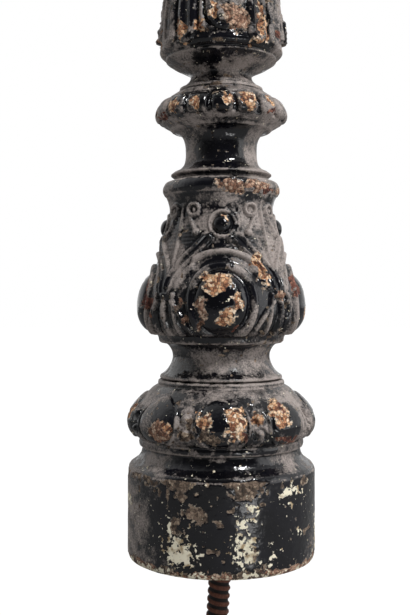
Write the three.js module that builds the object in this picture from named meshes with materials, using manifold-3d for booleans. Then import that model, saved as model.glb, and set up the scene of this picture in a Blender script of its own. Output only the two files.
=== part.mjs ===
// Cast iron stair baluster: a round base casting, a tall column casting that stands on it, and the threaded
// rod that comes out of the underside and screws down into the stair. Millimetres, +Z up.
// The origin is the middle of the underside, where the rod leaves it. The front looks along -Y.

import * as THREE from 'three';
import { mergeVertices } from 'three/addons/utils/BufferGeometryUtils.js';
import Module from 'manifold-3d';

const wasm = await Module();
wasm.setup();

const radians = THREE.MathUtils.degToRad;
const TURN = 2 * Math.PI;

// Main sizes: radii and heights above the underside
const TOTAL_HEIGHT = 900;
const DRUM_RADIUS = 53;
const DRUM_TOP = 50;
const WAIST_RADIUS = 44.5;
const WAIST_HEIGHT = 62;
const CUSHION_RADIUS = 51.6;
const BASE_TOP = 100;
const JOINT_GAP = 0.3;
const COLUMN_FOOT = BASE_TOP + JOINT_GAP;
const FOOT_RADIUS = 34.8;
const PEAR_BOTTOM = 124;
const PEAR_RADIUS = 43.8;
const PEAR_TOP = 197.6;
const COLLAR_RADIUS = 33;
const NECK_RADIUS = 20.2;
const KNOP_RADIUS = 36.4;
const KNOP_MIDDLE = 249;
const SCOTIA_RADIUS = 17.7;
const SCOTIA_HEIGHT = 270;
const CALYX_RADIUS = 36;
const CALYX_RIM = 280.6;
const RIM_RADIUS = 31.2;
const SHAFT_RING = 404;
const SHAFT_TOP = 846;
const SEAT_RADIUS = 27;

// How many of each ornament go round
const FACES = 4;
const CUSHION_LOBES = 8;
const KNOP_LOBES = 16;
const REEDS = 16;

// Heights of the ornaments' centres
const CABOCHON_HEIGHT = 143.3;
const BEAD_HEIGHT = 185.8;
const VOLUTE_HEIGHT = 194;
const CORNER_TOP = 148;
const LOBE_HEIGHT = 79.2;
const UPPER_BEAD_HEIGHT = 82;
const LOWER_BEAD_HEIGHT = 74.2;
const LEAF_HEIGHT = 307;
const CURL_HEIGHT = 290.5;

// Depths and lifts of the relief
const LOBE_LIFT = 2.4;
const LOBE_HALF_WIDTH = 13.2;
const LOBE_HALF_HEIGHT = 11.8;
const REED_DEPTH = 2;
const LEAF_LIFT = 1.2;
const RIB_LIFT = 1.5;
const LEAF_HALF_ANGLE = radians(15);
const LEAF_HALF_HEIGHT = 20;
const SHAFT_REED_DEPTH = 1.2;
const KNOP_NOTCH = 2;
const KNOP_BAND = 14;

// Threaded rod
const ROD_RADIUS = 6.5;
const ROD_ROOT = 5.7;
const ROD_PITCH = 4.5;
const ROD_SIDES = 6;
const ROD_BELOW = 62;
const ROD_TAPER = 10;
const ROD_INSIDE = 8;
const ROD_LEAN = radians(3.5);
const SOCKET_CLEARANCE = 0.4;
const THREAD_TRIM = 1;

// Sides of the turned bodies
const BASE_SIDES = 32;
const COLUMN_SIDES = 20;
const SEAT_SIDES = 16;
const SIDES_PER_LOBE = 6;
const SIDES_PER_REED = 3;
const FIRST_GROOVE = TURN / 2 / REEDS;

function solidOf(geometry) {
  const bare = geometry.index ? geometry.toNonIndexed() : geometry.clone();
  bare.deleteAttribute('normal');
  bare.deleteAttribute('uv');
  const merged = mergeVertices(bare, 1e-3);
  const corners = [];
  for (let i = 0; i < merged.index.count; i += 3) {
    const [a, b, c] = [0, 1, 2].map((k) => merged.index.getX(i + k));
    if (a !== b && b !== c && c !== a) corners.push(a, b, c);
  }
  return new wasm.Manifold(new wasm.Mesh({
    numProp: 3,
    vertProperties: Float32Array.from(merged.attributes.position.array),
    triVerts: Uint32Array.from(corners),
  }));
}

function meshOf(name, solid, material) {
  const { vertProperties, triVerts } = solid.getMesh();
  const geometry = new THREE.BufferGeometry();
  geometry.setAttribute('position', new THREE.BufferAttribute(vertProperties, 3));
  geometry.setIndex(new THREE.BufferAttribute(triVerts, 1));
  geometry.computeVertexNormals();
  const mesh = new THREE.Mesh(geometry, material);
  mesh.name = name;
  return mesh;
}

// A smooth stretch of profile through a few [radius, height] points.
function smooth(points, steps) {
  const curve = new THREE.SplineCurve(points.map(([r, z]) => new THREE.Vector2(r, z)));
  return curve.getPoints(steps).map((p) => [p.x, p.y]);
}

// A round stretch of profile about a centre, from one angle to another in degrees.
function arc([r, z], radius, from, to, steps) {
  const points = [];
  for (let i = 0; i <= steps; i += 1) {
    const angle = radians(from + (to - from) * i / steps);
    points.push([r + radius * Math.cos(angle), z + radius * Math.sin(angle)]);
  }
  return points;
}

// A body turned about Z, its first side edge at a start angle from the front.
// relief(angle, height) is taken off its radius.
function turned(profile, sides, relief = () => 0, start = 0) {
  const outline = profile.map(([r, z]) => new THREE.Vector2(r, z));
  const geometry = new THREE.LatheGeometry(outline, sides, start).rotateX(Math.PI / 2);
  const at = geometry.attributes.position;
  for (let i = 0; i < at.count; i += 1) {
    const radius = Math.hypot(at.getX(i), at.getY(i));
    if (radius > 1e-6) {
      const angle = Math.atan2(at.getX(i), -at.getY(i));
      const share = 1 - relief(angle, at.getZ(i)) / radius;
      at.setXY(i, at.getX(i) * share, at.getY(i) * share);
    }
  }
  return geometry;
}

// Angle from the nearest of a number of evenly spaced directions, the first at the front.
function fromNearest(angle, count) {
  const pitch = TURN / count;
  return angle - pitch * Math.round(angle / pitch);
}

// The dip between neighbours in a row of reeds or lobes: 0 on a crest and 1 in the groove.
function groove(angle, count) {
  return Math.abs(fromNearest(angle, count) * 2 * count / TURN) ** 3;
}

// Radius and slope of a profile at a height.
function surfaceAt(profile, height) {
  const last = profile.length - 2;
  let i = profile.findIndex(([, z], k) => k <= last && height >= z && height < profile[k + 1][1]);
  if (i < 0) i = height < profile[0][1] ? 0 : last;
  const [[r0, z0], [r1, z1]] = [profile[i], profile[i + 1]];
  const slope = (r1 - r0) / (z1 - z0);
  return { radius: r0 + slope * (height - z0), slope };
}

// Bends a flat ornament (x across, y up, z out) round a turned surface, at an angle and a height.
function laid(geometry, profile, angle, height) {
  const bent = geometry.clone();
  const at = bent.attributes.position;
  for (let i = 0; i < at.count; i += 1) {
    const level = height + at.getY(i);
    const { radius, slope } = surfaceAt(profile, level);
    const out = at.getZ(i) / Math.hypot(1, slope);
    const turn = angle + at.getX(i) / radius;
    const r = radius + out;
    at.setXYZ(i, r * Math.sin(turn), -r * Math.cos(turn), level - out * slope);
  }
  return bent;
}

// Joins ornaments, each a flat shape and its height, to a body at evenly spaced angles.
function dressed(body, ornaments, profile, count, offset = 0) {
  let solid = body;
  for (let i = 0; i < count; i += 1) {
    const angle = (i + offset) * TURN / count;
    for (const [geometry, height] of ornaments) {
      solid = solid.add(solidOf(laid(geometry, profile, angle, height)));
    }
  }
  return solid;
}

// Flat ornament shapes

function dome(halfWidth, halfHeight, lift, around = 6, rings = 3) {
  return new THREE.SphereGeometry(1, around, rings).rotateX(Math.PI / 2).scale(halfWidth, halfHeight, lift);
}

// A round boss from [radius, lift] points. It starts on its axis, below the surface that it sits on.
function boss(profile, sides, stretch = 1) {
  return turned(profile, sides).scale(1, stretch, 1);
}

// A raised strap along a flat path.
function strap(points, halfWidth, steps) {
  const extrudePath = new THREE.CatmullRomCurve3(points.map(([x, y]) => new THREE.Vector3(x, y, 0)));
  const section = new THREE.Shape();
  section.absarc(0, 0, halfWidth, 0, TURN);
  return new THREE.ExtrudeGeometry(section, { steps, curveSegments: 2, extrudePath });
}

// Ribs that hang side by side and spread as they go down from the top.
function fan(ribs, topWidth, bottomWidth, length) {
  const [crest, valley, root] = [RIB_LIFT, RIB_LIFT / 5, -2];
  const section = new THREE.Shape();
  section.moveTo(-1, root);
  for (let i = 0; i <= 2 * ribs; i += 1) {
    section.lineTo(i / ribs - 1, i % 2 ? crest : valley);
  }
  section.lineTo(1, root);
  const geometry = new THREE.ExtrudeGeometry(section, { depth: length, steps: 2, bevelEnabled: false });
  const at = geometry.rotateX(Math.PI / 2).attributes.position;
  for (let i = 0; i < at.count; i += 1) {
    at.setX(i, at.getX(i) * (topWidth - (bottomWidth - topWidth) * at.getY(i) / length));
  }
  return geometry;
}

// Base casting: drum, cove, ring and cushion

const cushionProfile = smooth([
  [WAIST_RADIUS + 3.6, 67.6],
  [CUSHION_RADIUS - 0.6, 72],
  [CUSHION_RADIUS - 0.2, 78],
  [45.6, 89],
  [36.8, 96.4],
], 6);

const drumProfile = [
  [0, 0],
  [DRUM_RADIUS - 2.4, 0],
  [DRUM_RADIUS - 0.6, 0.9],
  [DRUM_RADIUS, 2.6],
  [DRUM_RADIUS, DRUM_TOP],
  [DRUM_RADIUS - 0.9, DRUM_TOP + 2],
  ...arc([WAIST_RADIUS + 8, WAIST_HEIGHT], 8, 252, 180, 2),
  [WAIST_RADIUS + 1.9, WAIST_HEIGHT + 1],
  [WAIST_RADIUS + 2.2, WAIST_HEIGHT + 4],
  [WAIST_RADIUS, WAIST_HEIGHT + 5],
  [0, WAIST_HEIGHT + 5],
];

// Egg-shaped lobes, wide end down.
function lobeRelief(angle, height) {
  const up = (height - LOBE_HEIGHT) / LOBE_HALF_HEIGHT;
  const halfWidth = LOBE_HALF_WIDTH * (1 - 0.16 * up);
  const across = fromNearest(angle, CUSHION_LOBES) * surfaceAt(cushionProfile, height).radius / halfWidth;
  return -LOBE_LIFT * Math.sqrt(Math.max(0, 1 - across ** 2 - up ** 2));
}

function baseCasting() {
  const cushion = [[0, WAIST_HEIGHT + 3], [WAIST_RADIUS, WAIST_HEIGHT + 3], ...cushionProfile,
    [FOOT_RADIUS + 0.8, BASE_TOP - 3], [FOOT_RADIUS, BASE_TOP], [0, BASE_TOP]];
  const bead = dome(3.1, 3.1, 2.4, 4);
  const beads = [[bead, LOWER_BEAD_HEIGHT], [bead, UPPER_BEAD_HEIGHT]];
  const body = solidOf(turned(cushion, SIDES_PER_LOBE * CUSHION_LOBES, lobeRelief));
  return dressed(body, beads, cushionProfile, CUSHION_LOBES, 0.5)
    .add(solidOf(turned(drumProfile, BASE_SIDES)))
    .subtract(rodEnvelope(SOCKET_CLEARANCE, SOCKET_CLEARANCE));
}

// Column casting: foot, neck, pear, collar, neck, knop, calyx, reeded shaft and seat

const pearProfile = smooth([
  [38.4, PEAR_BOTTOM + 2.2],
  [42.6, 131.4],
  [PEAR_RADIUS, 140],
  [PEAR_RADIUS - 0.7, 149.5],
  [39.6, 159],
  [35.4, 170],
  [31.8, 182.5],
  [29.6, PEAR_TOP],
], 6);

const lowerProfile = [
  [0, COLUMN_FOOT],
  [FOOT_RADIUS, COLUMN_FOOT],
  [FOOT_RADIUS, COLUMN_FOOT + 1.6],
  [29.8, 105.4],
  [27.6, 111.5],
  [28.4, 117],
  [FOOT_RADIUS, 120.6],
  [FOOT_RADIUS + 0.8, PEAR_BOTTOM],
  ...pearProfile,
  [31, 202.4],
  [COLLAR_RADIUS - 0.5, 204.2],
  [COLLAR_RADIUS, 207.4],
  [COLLAR_RADIUS - 2, 211],
  [27.2, 213.4],
  [27.8, 216.4],
  [23, 218.6],
  [NECK_RADIUS + 0.2, 223.4],
  [NECK_RADIUS + 0.2, 232],
  [22.2, 237.6],
  [24.4, KNOP_MIDDLE - 6],
  [24.4, KNOP_MIDDLE + 10],
  [23.9, 263.4],
  [18.8, SCOTIA_HEIGHT - 3.2],
  [SCOTIA_RADIUS + 0.2, SCOTIA_HEIGHT + 0.4],
  [22.2, SCOTIA_HEIGHT + 4.4],
  [RIM_RADIUS - 1.2, CALYX_RIM - 2],
  [RIM_RADIUS, CALYX_RIM - 0.8],
  [0, CALYX_RIM + 0.6],
];

const knopProfile = [
  [0, 238.6],
  [22.6, 238.6],
  [32, 243.2],
  [KNOP_RADIUS - 0.6, KNOP_MIDDLE - 3.6],
  [KNOP_RADIUS, KNOP_MIDDLE],
  [KNOP_RADIUS - 1.8, KNOP_MIDDLE + 4.4],
  [31.2, KNOP_MIDDLE + 8],
  [24.6, 262],
  [0, 262],
];

const reedProfile = smooth([
  [RIM_RADIUS - 0.2, CALYX_RIM + 0.6],
  [CALYX_RADIUS - 1, 284.4],
  [CALYX_RADIUS, 290],
  [33.4, 309],
  [24.4, 366],
  [20.4, SHAFT_RING],
], 5);

const shaftRingProfile = [
  [0, SHAFT_RING - 3],
  ...arc([17.5, SHAFT_RING + 4], 5.6, -60, 60, 2),
  [19.6, SHAFT_RING + 12],
  [18.8, SHAFT_RING + 16],
  [0, SHAFT_RING + 16],
];

const seatProfile = [
  [0, SHAFT_TOP - 4],
  [15.2, SHAFT_TOP - 4],
  ...arc([15.4, SHAFT_TOP], 3, -60, 60, 2),
  [15, SHAFT_TOP + 10],
  ...smooth([
    [17.2, TOTAL_HEIGHT - 36],
    [24.6, TOTAL_HEIGHT - 24],
    [24.2, TOTAL_HEIGHT - 15],
    [19.4, TOTAL_HEIGHT - 9],
  ], 3),
  [SEAT_RADIUS, TOTAL_HEIGHT - 6],
  [SEAT_RADIUS, TOTAL_HEIGHT],
  [0, TOTAL_HEIGHT],
];

function knopNotch(angle, height) {
  const onLobes = Math.abs(height - KNOP_MIDDLE - 2) < KNOP_BAND / 2;
  return onLobes ? KNOP_NOTCH * groove(angle, KNOP_LOBES) : 0;
}

// Domed centre, sunk channel and outer ring.
function cabochon() {
  return boss([[0, -6], [18.8, -6], [19, 0.8], [17.2, 1.8], [14.8, 0.4], [9.4, 2.8], [0, 3.6]], 9, 1.1);
}

// What each of the four faces of the pear carries: cabochon, arch, crossing straps, bead and volutes.
function faceOrnaments() {
  const arch = [[-17, 21], [-9, 26], [0, 27.4], [9, 26], [17, 21]];
  const ornaments = [
    [cabochon(), CABOCHON_HEIGHT],
    [strap(arch, 1.8, 4), CABOCHON_HEIGHT],
    [dome(4.8, 4.8, 3.2, 6), BEAD_HEIGHT],
  ];
  for (const side of [-1, 1]) {
    const crossing = [[8, 34], [14, 28], [22, 21], [28.8, 13.4], [32.4, 5]].map(([x, y]) => [side * x, y]);
    ornaments.push([strap(crossing, 2.2, 3), CABOCHON_HEIGHT]);
    ornaments.push([dome(3.6, 3.6, 1.4, 4).translate(side * 16.2, 0, 0), VOLUTE_HEIGHT]);
  }
  return ornaments;
}

// Ribs hanging side by side, on each corner of the pear.
function cornerOrnaments() {
  return [[fan(3, 8, 11.5, 22), CORNER_TOP]];
}

// Reeds with their rounded feet, and on each face a leaf laid over them.
function reedRelief(angle, height) {
  const across = Math.abs(fromNearest(angle, FACES));
  const onLeaf = across < LEAF_HALF_ANGLE && Math.abs(height - LEAF_HEIGHT) < LEAF_HALF_HEIGHT;
  if (onLeaf) return -LEAF_LIFT;
  return height > CALYX_RIM + 3 ? REED_DEPTH * groove(angle, REEDS) : 0;
}

function columnCasting() {
  const reedSides = SIDES_PER_REED * REEDS;
  const reeds = [[0, CALYX_RIM - 1], [RIM_RADIUS - 2, CALYX_RIM - 1], ...reedProfile, [0, SHAFT_RING]];
  const shaft = [[0, SHAFT_RING + 12], [18.6, SHAFT_RING + 12], [14.6, SHAFT_TOP], [0, SHAFT_TOP]];
  const curl = [[dome(6.4, 3.6, 3, 5), CURL_HEIGHT]];
  const knop = solidOf(turned(knopProfile, 2 * KNOP_LOBES, knopNotch));
  const lower = solidOf(turned(lowerProfile, COLUMN_SIDES)).add(knop);
  const faced = dressed(lower, faceOrnaments(), pearProfile, FACES);
  const cornered = dressed(faced, cornerOrnaments(), pearProfile, FACES, 0.5);
  const calyxBody = solidOf(turned(reeds, reedSides, reedRelief, FIRST_GROOVE));
  const shaftRelief = (angle) => SHAFT_REED_DEPTH * groove(angle, REEDS);
  return cornered
    .add(dressed(calyxBody, curl, reedProfile, FACES))
    .add(solidOf(turned(shaftRingProfile, SEAT_SIDES)))
    .add(solidOf(turned(shaft, reedSides, shaftRelief, FIRST_GROOVE)))
    .add(solidOf(turned(seatProfile, SEAT_SIDES)));
}

// Threaded rod, leaning a little to one side as it leaves the underside

// The rod's outline, grown all round and at its upper end.
function rodEnvelope(around, above) {
  const radius = ROD_RADIUS + around;
  return solidOf(turned([
    [0, -ROD_BELOW],
    [1.6, -ROD_BELOW],
    [radius, -ROD_BELOW + ROD_TAPER],
    [radius, ROD_INSIDE + above],
    [0, ROD_INSIDE + above],
  ], 8).rotateY(ROD_LEAN));
}

// A helical thread: rows of points half a pitch apart, crest and root in turn, each rising a pitch in a turn.
function threadGeometry() {
  const start = -ROD_BELOW - 2 * ROD_PITCH;
  const rows = Math.ceil((ROD_INSIDE - start) / ROD_PITCH) * 2 + 2;
  const points = [];
  const point = (row, side) => (side === ROD_SIDES ? [row + 2, 0] : [row, side]);
  const place = ([row, side]) => {
    const radius = row % 2 ? ROD_ROOT : ROD_RADIUS;
    const angle = side * TURN / ROD_SIDES;
    const height = start + row * ROD_PITCH / 2 + side * ROD_PITCH / ROD_SIDES;
    points.push(radius * Math.cos(angle), radius * Math.sin(angle), height);
  };
  for (let row = 0; row < rows; row += 1) {
    for (let side = 0; side < ROD_SIDES; side += 1) {
      const [a, b] = [point(row, side), point(row, side + 1)];
      const [c, d] = [point(row + 1, side + 1), point(row + 1, side)];
      [a, b, c, a, c, d].forEach(place);
    }
  }
  const cap = (row, height, step) => {
    const rim = Array.from({ length: ROD_SIDES + 1 }, (_, side) => point(row, side));
    const loop = [...rim, [row + 1, 0]];
    loop.forEach((_, i) => {
      place(loop[i]);
      place(loop[(i + step + loop.length) % loop.length]);
      points.push(0, 0, height);
    });
  };
  cap(0, start, -1);
  cap(rows, start + (rows / 2 + 1) * ROD_PITCH, 1);
  const geometry = new THREE.BufferGeometry();
  geometry.setAttribute('position', new THREE.Float32BufferAttribute(points, 3));
  return geometry;
}

function threadedRod() {
  const thread = solidOf(threadGeometry().rotateY(ROD_LEAN));
  return thread.intersect(rodEnvelope(THREAD_TRIM, 0));
}

// Materials

const paintedBase = new THREE.MeshStandardMaterial({ color: 0x19181c, roughness: 0.32, metalness: 0.1 });
const paintedColumn = new THREE.MeshStandardMaterial({ color: 0x1d1c20, roughness: 0.35, metalness: 0.1 });
const rustedSteel = new THREE.MeshStandardMaterial({ color: 0x4c2d24, roughness: 0.9, metalness: 0.3 });

const baluster = new THREE.Group();
baluster.add(
  meshOf('base_casting', baseCasting(), paintedBase),
  meshOf('column_casting', columnCasting(), paintedColumn),
  meshOf('threaded_rod', threadedRod(), rustedSteel),
);

export default baluster;
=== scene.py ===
import math
from itertools import product

import bmesh
import bpy
import numpy as np
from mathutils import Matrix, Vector


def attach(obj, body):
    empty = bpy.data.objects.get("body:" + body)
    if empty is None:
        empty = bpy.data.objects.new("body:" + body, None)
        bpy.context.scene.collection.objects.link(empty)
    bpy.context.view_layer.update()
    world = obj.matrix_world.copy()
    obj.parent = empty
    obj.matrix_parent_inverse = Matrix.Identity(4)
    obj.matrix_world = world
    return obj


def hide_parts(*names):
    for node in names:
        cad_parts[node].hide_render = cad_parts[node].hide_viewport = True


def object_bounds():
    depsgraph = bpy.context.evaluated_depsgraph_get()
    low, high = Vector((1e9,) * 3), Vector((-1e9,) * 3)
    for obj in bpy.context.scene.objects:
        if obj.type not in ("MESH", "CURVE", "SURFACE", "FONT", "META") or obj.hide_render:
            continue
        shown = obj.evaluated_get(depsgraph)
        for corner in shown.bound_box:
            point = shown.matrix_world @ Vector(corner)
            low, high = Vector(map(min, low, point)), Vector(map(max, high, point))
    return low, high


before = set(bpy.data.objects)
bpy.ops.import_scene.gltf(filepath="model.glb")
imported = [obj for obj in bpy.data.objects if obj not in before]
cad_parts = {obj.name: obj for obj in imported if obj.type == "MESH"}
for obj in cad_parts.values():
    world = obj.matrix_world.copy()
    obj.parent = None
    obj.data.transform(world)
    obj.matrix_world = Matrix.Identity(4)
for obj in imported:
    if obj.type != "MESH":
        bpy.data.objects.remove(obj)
CAD_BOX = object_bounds()

bl_info = {
    "name": "Cast iron stair baluster",
    "version": (1, 0, 0),
    "blender": (4, 5, 0),
    "location": "3D View > Sidebar > Baluster",
    "description": "A stair baluster of two painted iron castings on a rusty threaded rod",
    "category": "Add Mesh",
}

MM = 0.001
TURN = 2 * math.pi
FACES = 4


def linear(hex_colour):
    """An sRGB hex value as a linear colour."""
    parts = [int(hex_colour[i:i + 2], 16) / 255 for i in (1, 3, 5)]
    return tuple(c / 12.92 if c <= 0.04045 else ((c + 0.055) / 1.055) ** 2.4 for c in parts)


# Sizes and colours that a user would change

def length(name, description, default):
    return bpy.props.FloatProperty(
        name=name, description=description, default=default * MM, min=0.0, unit="LENGTH")


def number(name, description, default, least=3):
    return bpy.props.IntProperty(name=name, description=description, default=default, min=least)


def tint(name, description, hex_colour):
    return bpy.props.FloatVectorProperty(
        name=name, description=description, default=linear(hex_colour), size=3, min=0.0, max=1.0,
        subtype="COLOR")


class BalusterSizes(bpy.types.PropertyGroup):
    drum_radius: length("Drum radius", "Radius of the plain drum at the foot", 53.0)
    cushion_radius: length("Cushion radius", "Radius of the cushion moulding between its lobes", 51.4)
    pear_radius: length("Pear radius", "Radius of the pear under its carving", 43.8)
    knop_radius: length("Knop radius", "Radius of the knop before its pads are carved", 36.5)
    calyx_radius: length("Calyx radius", "Radius of the calyx between its reeds", 33.9)
    shaft_foot: length("Shaft foot radius", "Radius of the upper shaft where it leaves the ring", 18.5)
    shaft_head: length("Shaft head radius", "Radius of the upper shaft under the capital", 14.6)
    lobes: number("Cushion lobes", "Egg-shaped lobes round the cushion", 8)
    knop_pads: number("Knop pads", "Pads round the knop", 16)
    reeds: number("Reeds", "Reeds round the calyx and the shaft", 16, least=4)
    reed_depth: length("Reed depth", "Depth of the grooves between the calyx's reeds", 2.7)
    shaft_reed_depth: length("Shaft reed depth", "Depth of the grooves between the shaft's reeds", 1.2)
    lobe_lift: length("Lobe lift", "How far the cushion's lobes stand up", 2.1)
    upper_bead: length("Upper bead radius", "Radius of the upper beads between the lobes", 2.8)
    lower_bead: length("Lower bead radius", "Radius of the lower beads between the lobes", 2.1)
    rod_crest: length("Rod radius", "Radius over the crests of the thread", 6.4)
    rod_root: length("Rod root radius", "Radius at the bottom of the thread", 5.5)
    rod_pitch: length("Thread pitch", "Height of one turn of the thread", 4.5)
    rod_below: length("Rod length", "How far the rod reaches below the underside", 61.8)
    rod_lean: bpy.props.FloatProperty(
        name="Rod lean", description="Lean of the rod off the axis", default=math.radians(3.5),
        subtype="ANGLE")


class BalusterColours(bpy.types.PropertyGroup):
    paint: tint("Paint", "Thick black gloss paint", "#08080c")
    # the film's colour, shown for dust and for sheen that is painted as dust
    dust_and_sheen: tint("Dust", "Film of grey-brown dust", "#a39892")
    cream: tint("Cream", "Old cream paint under the black", "#efe7d0")
    rod_rust: tint("Rod rust", "Rust on the threaded rod", "#6e4434")
    ground: tint("Stage", "The plain floor", "#ffffff")


# Patterns in numbers, for shapes and wear

LATTICE = np.random.RandomState(7).rand(32, 32, 32)


def noise(points, size):
    """Smooth noise from 0 to 1 at points in mm, with features of about a size in mm."""
    scaled = points / size
    cell = np.floor(scaled).astype(int)
    part = scaled - cell
    part = part * part * (3 - 2 * part)
    total = np.zeros(points.shape[:-1])
    for corner in product((0, 1), repeat=3):
        share = np.prod([part[..., k] if corner[k] else 1 - part[..., k] for k in range(3)], axis=0)
        at = [(cell[..., k] + corner[k]) % 32 for k in range(3)]
        total += share * LATTICE[at[0], at[1], at[2]]
    return total


def ragged(points, size):
    """Noise with smaller and smaller features on top, from about -0.5 to 0.5."""
    layers = [(1.0, 1), (0.6, 2.1), (0.36, 4.3)]
    return sum(share * (noise(points + 9.1 * finer, size / finer) - 0.5) for share, finer in layers) / 1.2


def from_nearest(angle, count):
    """Angle from the nearest of some evenly spaced directions, the first at the front."""
    pitch = TURN / count
    return angle - pitch * np.round(angle / pitch)


def rounded(distance, half_width):
    """A rounded ridge: 1 on its middle line and 0 from its edge on."""
    return np.sqrt(np.clip(1 - (distance / half_width) ** 2, 0, 1))


def step(value, low, high):
    """0 below low, 1 above high and smooth between."""
    share = np.clip((value - low) / (high - low), 0, 1)
    return share * share * (3 - 2 * share)


def spline(points, spacing):
    """A smooth line through points, with about a spacing between its own."""
    p = np.array([points[0], *points, points[-1]], float)
    out = []
    for a, b, c, d in zip(p, p[1:], p[2:], p[3:]):
        count = max(2, int(np.ceil(np.linalg.norm(c - b) / spacing)))
        for t in np.arange(count) / count:
            bend = (2 * a - 5 * b + 4 * c - d) * t**2 + (3 * b - a - 3 * c + d) * t**3
            out.append(0.5 * (2 * b + (c - a) * t + bend))
    return np.array([*out, p[-1]])


def straight(points, spacing):
    """A line with corners, cut up by a spacing."""
    p = np.array(points, float)
    out = []
    for b, c in zip(p, p[1:]):
        count = max(1, int(np.ceil(np.linalg.norm(c - b) / spacing)))
        out.extend(b + (c - b) * t for t in np.arange(count) / count)
    return np.array([*out, p[-1]])


def from_path(across, up, points):
    """Distance from places on a face, in mm, to a smooth line through points."""
    line = spline(points, 0.6)
    nearest = np.full(across.shape, 1e9)
    for x, y in line:
        nearest = np.minimum(nearest, np.hypot(across - x, up - y))
    return nearest


# Turned castings with carving

# Rows and columns on each side that an edge is measured against
EDGE_REACH = 4


def round_angles(front, back):
    """Angles round a casting, closer together in its front half."""
    quarter = math.pi / 2
    return np.concatenate([
        np.linspace(-quarter, quarter, front, endpoint=False),
        np.linspace(quarter, 3 * quarter, back, endpoint=False)])


def blurred(field, reach):
    """Each place's mean over its neighbours within a number of rows and columns."""
    around = np.cumsum(np.pad(field, ((0, 0), (reach + 1, reach)), mode="wrap"), axis=1)
    field = around[:, 2 * reach + 1:] - around[:, :-2 * reach - 1]
    along = np.cumsum(np.pad(field, ((reach + 1, reach), (0, 0)), mode="edge"), axis=0)
    return (along[2 * reach + 1:] - along[:-2 * reach - 1]) / (2 * reach + 1) ** 2


def standing_out(profile, outward, reach):
    """How far each point of a profile stands out from the mean of its neighbours within a number of rows."""
    padded = np.pad(profile, ((reach, reach), (0, 0)), mode="edge")
    window = np.ones(2 * reach + 1) / (2 * reach + 1)
    mean = np.stack([np.convolve(column, window, mode="valid") for column in padded.T], axis=1)
    return np.sum((profile - mean) * outward, axis=1)


def turned_casting(name, profile, angles, carving):
    """A closed, weathered mesh from a profile of (radius, height) in mm that starts and ends on the axis.
    carving(angle, height, radius) gives how far the surface stands off it, and how dusty the ornament is."""
    inner = profile[1:-1]
    along = np.gradient(inner, axis=0)
    along /= np.linalg.norm(along, axis=1, keepdims=True)
    outward = np.stack([along[:, 1], -along[:, 0]], axis=1)
    angle, radius = np.meshgrid(angles, inner[:, 0])
    height = np.repeat(inner[:, 1:], len(angles), axis=1)
    lift, film = carving(angle, height, radius)
    # edges: how far each place stands out from its neighbours; the wear makes it paler there, as dust and
    # painted highlight, and darker in the hollows, as painted shade
    edges = lift - blurred(lift, EDGE_REACH) + standing_out(inner, outward, EDGE_REACH)[:, None]
    flat = np.stack([radius * np.sin(angle), -radius * np.cos(angle), height], axis=-1)
    wear = worn(flat.reshape(-1, 3), edges.ravel(), film.ravel())
    chips = step(wear[:, 1], 0.5, 0.56).reshape(angle.shape)
    lift = lift + 0.22 * ragged(flat, 14.0) + 0.1 * ragged(flat, 3.0) - CHIP_DEPTH * chips
    r = radius + lift * outward[:, :1]
    z = height + lift * outward[:, 1:]
    places = np.stack([r * np.sin(angle), -r * np.cos(angle), z], axis=-1).reshape(-1, 3)
    places = np.vstack([places, [0, 0, profile[0][1]], [0, 0, profile[-1][1]]])
    rows, columns = radius.shape
    here = np.arange(columns)
    there = (here + 1) % columns
    faces = []
    for row in range(rows - 1):
        low, high = row * columns, (row + 1) * columns
        faces.extend(np.stack([low + here, low + there, high + there, high + here], axis=1).tolist())
    foot, head, top = len(places) - 2, len(places) - 1, (rows - 1) * columns
    faces.extend([foot, int(there[k]), int(here[k])] for k in range(columns))
    faces.extend([head, top + int(here[k]), top + int(there[k])] for k in range(columns))
    mesh = bpy.data.meshes.new(name)
    mesh.from_pydata((places * MM).tolist(), [], faces)
    mesh.shade_smooth()
    keep_wear(mesh, np.vstack([wear, wear[:1], wear[-1:]]))
    return mesh


def fix_outside(mesh):
    """Turns a closed mesh's faces outwards and merges points that lie together."""
    work = bmesh.new()
    work.from_mesh(mesh)
    bmesh.ops.remove_doubles(work, verts=work.verts, dist=0.01 * MM)
    bmesh.ops.dissolve_degenerate(work, edges=work.edges, dist=0.002 * MM)
    bmesh.ops.recalc_face_normals(work, faces=work.faces)
    work.to_mesh(mesh)
    work.free()
    mesh.shade_smooth()


def show(name, mesh, material, slot, *nodes):
    """Puts a finished mesh in the scene in place of its CAD nodes."""
    piece = bpy.data.objects.new(name, mesh)
    bpy.context.collection.objects.link(piece)
    if not mesh.materials:
        mesh.materials.append(material)
    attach(piece, "root")
    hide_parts(*nodes)


# Wear: each spot is (angle in degrees, height, half width, half height), in mm

CHIP_DEPTH = 0.3
DRUM_TOP = 50.0
COVE_TOP = 66.0

# Cream paint shows up to the first height, a rim of it up to the second, and bare rust up to the third
CREAM_TOP = 60.0
RIM_TOP = 6.0
BARE_TOP = 5.0

# Heights of the edges between mouldings, where a pale line of dust and painted highlight is drawn
DUST_AND_HIGHLIGHT_LINES = (50.4, 62.8, 66.7, 97.2, 99.2, 101.4, 120.9, 203.4, 210.8, 215.2, 240.7, 262.8, 280.3)

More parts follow.
